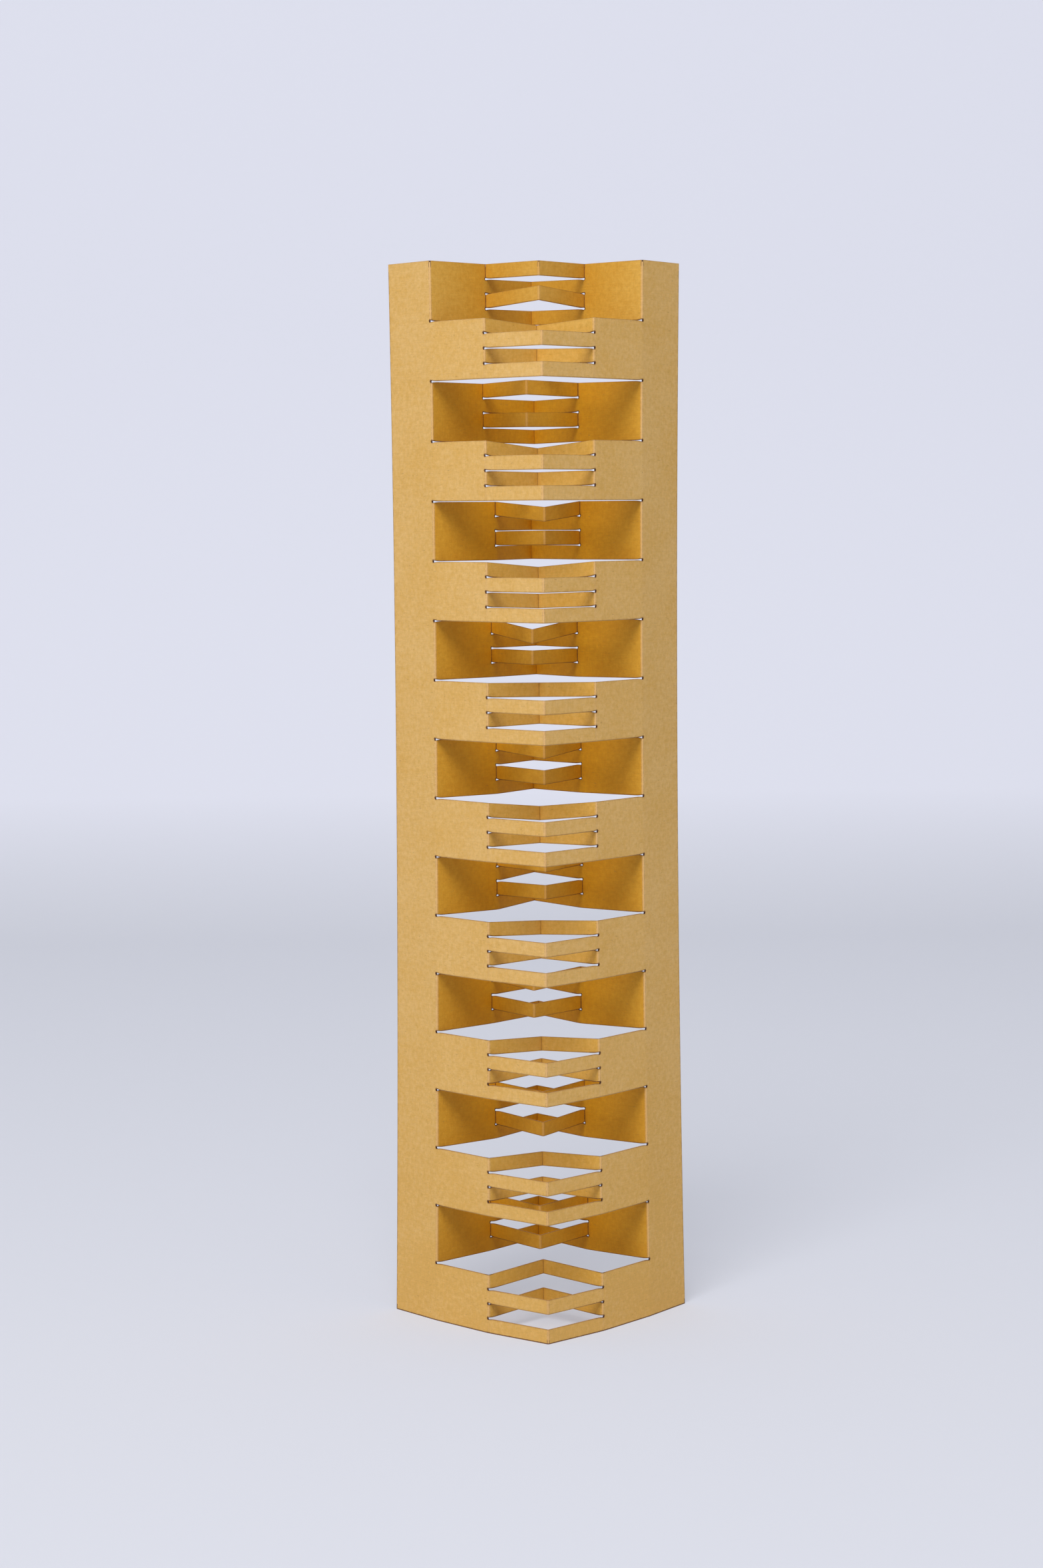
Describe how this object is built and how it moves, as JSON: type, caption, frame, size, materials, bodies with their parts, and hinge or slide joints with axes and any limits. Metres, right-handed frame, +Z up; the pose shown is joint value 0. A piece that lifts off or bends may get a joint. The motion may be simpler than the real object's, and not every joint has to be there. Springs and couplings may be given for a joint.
{
  "type": "kirigami paper tower",
  "caption": "Free-standing pop-up tower, slit in rows and folded from one sheet of tan card into a see-through stack of square cells.",
  "frame": {"origin": "centre of the footprint, on the surface that the tower stands on", "axes": "+Z up the tower, -Y towards the front ridge, +X to the right seen from the front"},
  "size_m": [0.0832, 0.0564, 0.297],
  "materials": {
    "card": "matt golden-tan card with fine fibre and dark scorched cut edges"
  },
  "bodies": {
    "root": {"folded_card": "card"}
  },
  "joints": []
}
